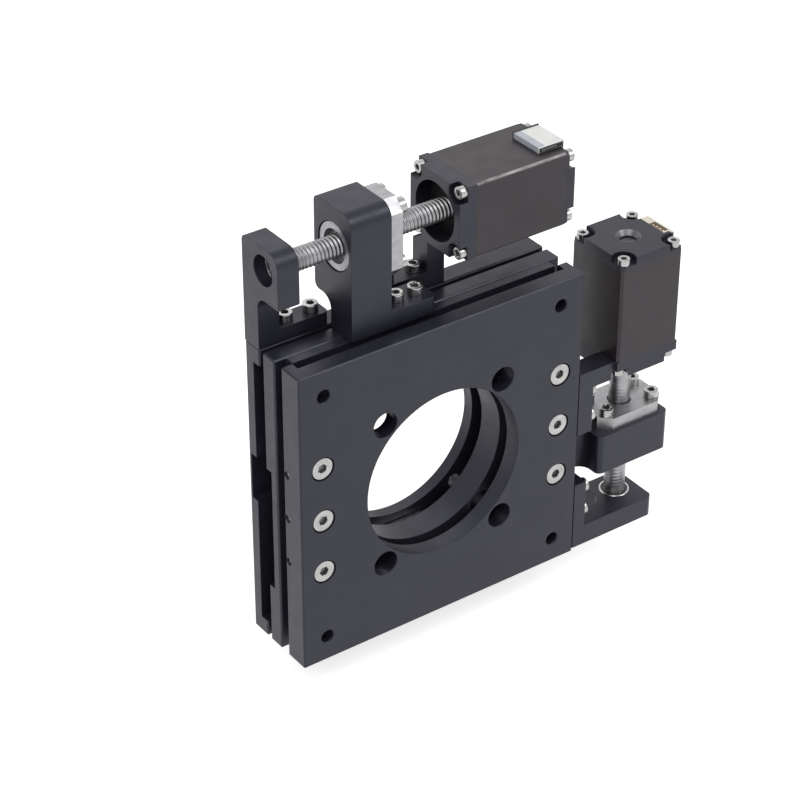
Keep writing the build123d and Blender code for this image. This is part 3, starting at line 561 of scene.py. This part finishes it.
def x_connector():
    """Pale socket whose mouth looks forwards, with a tongue between its two slots. Its front frame, the
    inside of its mouth and a strip at its back are dark with painted shade, and a painted reflection lays
    pale blue over its left third.
    """
    node = "x_motor_connector"
    low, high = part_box(node)
    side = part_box("x_motor_body")[1][2]
    top = high[2] - 0.4 * MM
    centre = Vector(((low[0] + high[0]) / 2, high[1], (low[2] + top) / 2))
    matrix = Matrix.Translation(centre) @ Matrix.Rotation(radians(90), 4, "X")
    half = ((high[0] - low[0]) / 2, (top - low[2]) / 2)
    length = high[1] - low[1]
    wall = 0.7 * MM
    floor_level = side + 0.1 * MM - centre.z
    mesh = bmesh.new()
    # The frame round the mouth and the mouth's walls take the second material, dark grey painted shade.
    open_box(mesh, matrix, half, length, (wall - half[0], floor_level), (half[0] - wall, half[1] - wall),
             0.5 * length, 0.18 * MM, 1)
    shell = new_piece("x_connector_shell", mesh, WHITE_PLASTIC, "base", 30, (FRAME_PAINTED_SHADE,))
    # Painted shade: a near-black box that fills the inside of the mouth.
    mouth_shade_low = (low[0] + wall + 0.05 * MM, low[1] + 0.25 * MM, side + 0.15 * MM)
    mouth_shade_high = (high[0] - wall - 0.05 * MM, low[1] + 0.5 * length, top - wall - 0.05 * MM)
    mesh = bmesh.new()
    solid_box(mesh, mouth_shade_low, mouth_shade_high, 0.05 * MM)
    mouth_shade = new_piece("x_connector_mouth", mesh, SOCKET_PAINTED_SHADE, "base", 30)
    mesh = bmesh.new()
    tongue_level = (mouth_shade_low[2] + mouth_shade_high[2]) / 2
    solid_box(mesh, (mouth_shade_low[0] + 0.8 * MM, low[1] + 0.1 * MM, tongue_level - 0.12 * MM),
              (mouth_shade_high[0] - 2.2 * MM, low[1] + 2 * MM, tongue_level + 0.12 * MM), 0.04 * MM)
    tongue = new_piece("x_connector_tongue", mesh, SOCKET_GREY, "base", 30)
    mesh = bmesh.new()
    # Painted shade: a near-black strip along the socket's back end.
    solid_box(mesh, (low[0], high[1] - 0.6 * MM, low[2]), high, 0.1 * MM)
    back = new_piece("x_connector_back", mesh, SOCKET_PAINTED_SHADE, "base", 30)
    # Painted reflection: a pale blue skin over the left third of the socket's top and its left side.
    mesh = bmesh.new()
    solid_box(mesh, (low[0] - 0.03 * MM, low[1] + 0.3 * MM, side + 0.02 * MM),
              (low[0] + 0.28 * (high[0] - low[0]), high[1] - 0.5 * MM, top + 0.03 * MM), 0.05 * MM)
    flank = new_piece("x_connector_painted_reflection", mesh, REFLECTION_BLUE, "base", 30)
    for piece in (shell, mouth_shade, tongue, back, flank):
        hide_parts(node)


def z_connector():
    """Beige header let into the motor's end, with its row of pins under the open side. The inside of its
    window is brown with painted shade, and a near-black plate of painted shade lies on one side.
    """
    node = "z_motor_connector"
    low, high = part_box(node)
    centre = Vector(((low[0] + high[0]) / 2, (low[1] + high[1]) / 2, low[2]))
    half = ((high[0] - low[0]) / 2, (high[1] - low[1]) / 2)
    length = high[2] - low[2]
    depth = 1.2 * MM
    window_low = (0.9 * MM - half[0], 2.0 * MM - half[1])
    window_high = (half[0] - 0.9 * MM, 0.3 * half[1])
    mesh = bmesh.new()
    open_box(mesh, Matrix.Translation(centre), half, length, window_low, window_high, depth, 0.18 * MM, 0)
    shell = new_piece("z_connector_shell", mesh, SOCKET_BEIGE, "front", 30, (BROWN_PAINTED_SHADE,))
    pins = bmesh.new()
    count = 4
    window_middle = centre.y + (window_low[1] + window_high[1]) / 2
    pin_step = (window_high[1] - window_low[1]) / count
    for index in range(count):
        y = window_middle + (index - (count - 1) / 2) * pin_step
        spot = Vector((centre.x, y, high[2] - depth - 0.2 * MM))
        half_pin = 0.25 * MM
        solid_box(pins, spot - Vector((half_pin, half_pin, 0)),
                  spot + Vector((half_pin, half_pin, depth - 0.2 * MM)), 0.06 * MM)
    row = new_piece("z_connector_pins", pins, PIN_GOLD, "front", 30)
    # Painted shade: a near-black plate on the header's low y side.
    shade_plate = bmesh.new()
    solid_box(shade_plate, (centre.x - half[0] + 2.5 * MM, low[1] - 0.02 * MM, low[2]),
              (high[0], low[1] + 0.8 * MM, high[2] - 0.3 * MM), 0.06 * MM)
    side = new_piece("z_connector_side", shade_plate, SOCKET_PAINTED_SHADE, "front", 30)
    for piece in (shell, row, side):
        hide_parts(node)


x_connector()
z_connector()


# ---------------------------------------------------------------- ends of the motors
SEAT_RADIUS = 3.0 * MM
SEAT_BEVEL = 1.7 * MM
SEAT_DEPTH = 2.4 * MM


def motor_front(drive, along):
    """Painted shade: a dull black disc on the front of the motor, deep in the opening of its bracket, that
    darkens the opening.
    """
    node = f"{drive}_motor_body"
    low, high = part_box(node)
    matrix = end_frame(node, along, 0, -1)
    across = 1 if along == 2 else 2
    half = (high[across] - low[across]) / 2
    reach = half - 3.2 * MM
    bore = MAJOR + 0.15 * MM
    mesh = bmesh.new()
    swept_ring(mesh, matrix, [
        (bore, -0.1 * MM),
        (reach - 0.2 * MM, -0.1 * MM),
        (reach - 0.2 * MM, 0.12 * MM),
        (0.62 * reach, 0.12 * MM),
        (0.58 * reach, 0.4 * MM),
        (bore, 0.4 * MM),
    ])
    new_piece(f"{drive}_motor_front_shade", mesh, SHADE, node_bodies[node], 30)


def rear_seat(drive, along):
    """Steel skin of the coned seat in the motor's rear cap, darkened with painted shade."""
    node = f"{drive}_motor_rear_cap"
    matrix = end_frame(node, along, 1, 1)
    skin = 0.05 * MM
    mouth = SEAT_RADIUS + SEAT_BEVEL
    mesh = bmesh.new()
    swept_ring(mesh, matrix, [
        (mouth - 2 * skin, -0.01 * MM),
        (mouth, -0.01 * MM),
        (SEAT_RADIUS + skin, skin - SEAT_BEVEL),
        (SEAT_RADIUS - skin, skin - SEAT_BEVEL),
    ])
    bottom = skin - SEAT_DEPTH
    swept_ring(mesh, matrix, [
        (SEAT_RADIUS - skin, bottom),
        (skin, bottom),
        (skin, bottom + 2 * skin),
        (SEAT_RADIUS - skin, bottom + 2 * skin),
    ])
    new_piece(f"{drive}_motor_rear_seat", mesh, SEAT_PAINTED_SHADE_STEEL, node_bodies[node], 30)


# ---------------------------------------------------------------- bearings
def bearing(drive, along):
    """Sealed ball bearing: bright outer and inner rings with a dark seal between them."""
    outer = f"{drive}_bearing_outer_ring"
    inner = f"{drive}_bearing_inner_ring"
    low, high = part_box(outer)
    matrix = end_frame(outer, along, 0, 1)
    width = high[along] - low[along]
    across = 1 if along == 2 else 2
    reach = (high[across] - low[across]) / 2
    bore = (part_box(inner)[1][across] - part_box(inner)[0][across]) / 2
    edge = 0.25 * MM
    wall = 0.85 * MM
    body = node_bodies[outer]
    mesh = bmesh.new()
    swept_ring(mesh, matrix, [
        (reach - edge, 0),
        (reach, edge),
        (reach, width - edge),
        (reach - edge, width),
        (reach - wall, width),
        (reach - wall - 0.1 * MM, width - edge),
        (reach - wall - 0.1 * MM, edge),
        (reach - wall, 0),
    ])
    race = new_piece(f"{drive}_bearing_race", mesh, BEARING, body, 30)
    mesh = bmesh.new()
    swept_ring(mesh, matrix, [
        (reach - wall - 0.12 * MM, 0.3 * MM),
        (reach - wall - 0.12 * MM, width - 0.3 * MM),
        (bore + 0.12 * MM, width - 0.2 * MM),
        (bore + 0.12 * MM, 0.2 * MM),
    ])
    seal = new_piece(f"{drive}_bearing_seal", mesh, SEAL, body, 30)
    for piece in (race, seal):
        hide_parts(outer)


for drive, (along, outward) in DRIVES.items():
    bearing(drive, along)
    motor_front(drive, along)
    rear_seat(drive, along)


# ---------------------------------------------------------------- floor, light
FLOOR_GAP = 16 * MM  # more than the 15 mm that the front plate travels down
FLOOR = cad_low[2] - FLOOR_GAP


def seen_rays(tree):
    """One for camera, glossy and transmission rays, which all see the white background."""
    path = tree.nodes.new("ShaderNodeLightPath")
    first = tree.nodes.new("ShaderNodeMath")
    first.operation = "MAXIMUM"
    tree.links.new(path.outputs["Is Camera Ray"], first.inputs[0])
    tree.links.new(path.outputs["Is Glossy Ray"], first.inputs[1])
    second = tree.nodes.new("ShaderNodeMath")
    second.operation = "MAXIMUM"
    tree.links.new(first.outputs["Value"], second.inputs[0])
    tree.links.new(path.outputs["Is Transmission Ray"], second.inputs[1])
    return second.outputs["Value"]


def floor_material():
    """White floor that the camera sees near white, with the object's shadow kept faint."""
    material, tree, shader = new_material("floor_white")
    shader.inputs["Base Color"].default_value = (0.8, 0.8, 0.8, 1)
    shader.inputs["Roughness"].default_value = 0.9
    output = tree.nodes["Material Output"]
    seen = seen_rays(tree)
    glow = tree.nodes.new("ShaderNodeEmission")
    glow.inputs["Color"].default_value = (1, 1, 1, 1)
    glow.inputs["Strength"].default_value = 0.65
    total = tree.nodes.new("ShaderNodeAddShader")
    mix = tree.nodes.new("ShaderNodeMixShader")
    tree.links.new(shader.outputs["BSDF"], total.inputs[0])
    tree.links.new(glow.outputs["Emission"], total.inputs[1])
    tree.links.new(seen, mix.inputs["Fac"])
    tree.links.new(shader.outputs["BSDF"], mix.inputs[1])
    tree.links.new(total.outputs["Shader"], mix.inputs[2])
    tree.links.new(mix.outputs["Shader"], output.inputs["Surface"])
    return material


floor_mesh = bmesh.new()
corners = [(-3, -3), (3, -3), (3, 3), (-3, 3)]
floor_mesh.faces.new([floor_mesh.verts.new((x, y, FLOOR)) for x, y in corners])
floor_data = bpy.data.meshes.new("floor")
floor_mesh.to_mesh(floor_data)
floor_mesh.free()
floor = bpy.data.objects.new("floor", floor_data)
floor_data.materials.append(floor_material())
bpy.context.collection.objects.link(floor)


def area_light(name, place, target, size, power):
    data = bpy.data.lights.new(name, "AREA")
    data.shape = "RECTANGLE"
    data.size, data.size_y = size
    data.energy = power
    light = bpy.data.objects.new(name, data)
    light.location = place
    light.rotation_euler = (Vector(target) - Vector(place)).to_track_quat("-Z", "Y").to_euler()
    bpy.context.collection.objects.link(light)


area_light("key", (-0.6, -0.5, 1.1), (0, 0, 0.02), (0.9, 0.9), 7)
area_light("fill", (0.62, -0.72, 0.9), (0, 0, 0.05), (0.5, 0.5), 4)
area_light("rim", (0.3, 0.9, 0.9), (0, 0, 0.02), (0.9, 0.5), 1.2)

world = bpy.data.worlds.new("studio")
world.use_nodes = True
bpy.context.scene.world = world
world_tree = world.node_tree
background = world_tree.nodes["Background"]
background.inputs["Color"].default_value = (1, 1, 1, 1)
level = world_tree.nodes.new("ShaderNodeMapRange")
level.inputs["To Min"].default_value = 0.45
level.inputs["To Max"].default_value = 1.0
world_tree.links.new(seen_rays(world_tree), level.inputs["Value"])
world_tree.links.new(level.outputs["Result"], background.inputs["Strength"])

bpy.context.scene.view_settings.view_transform = "Standard"
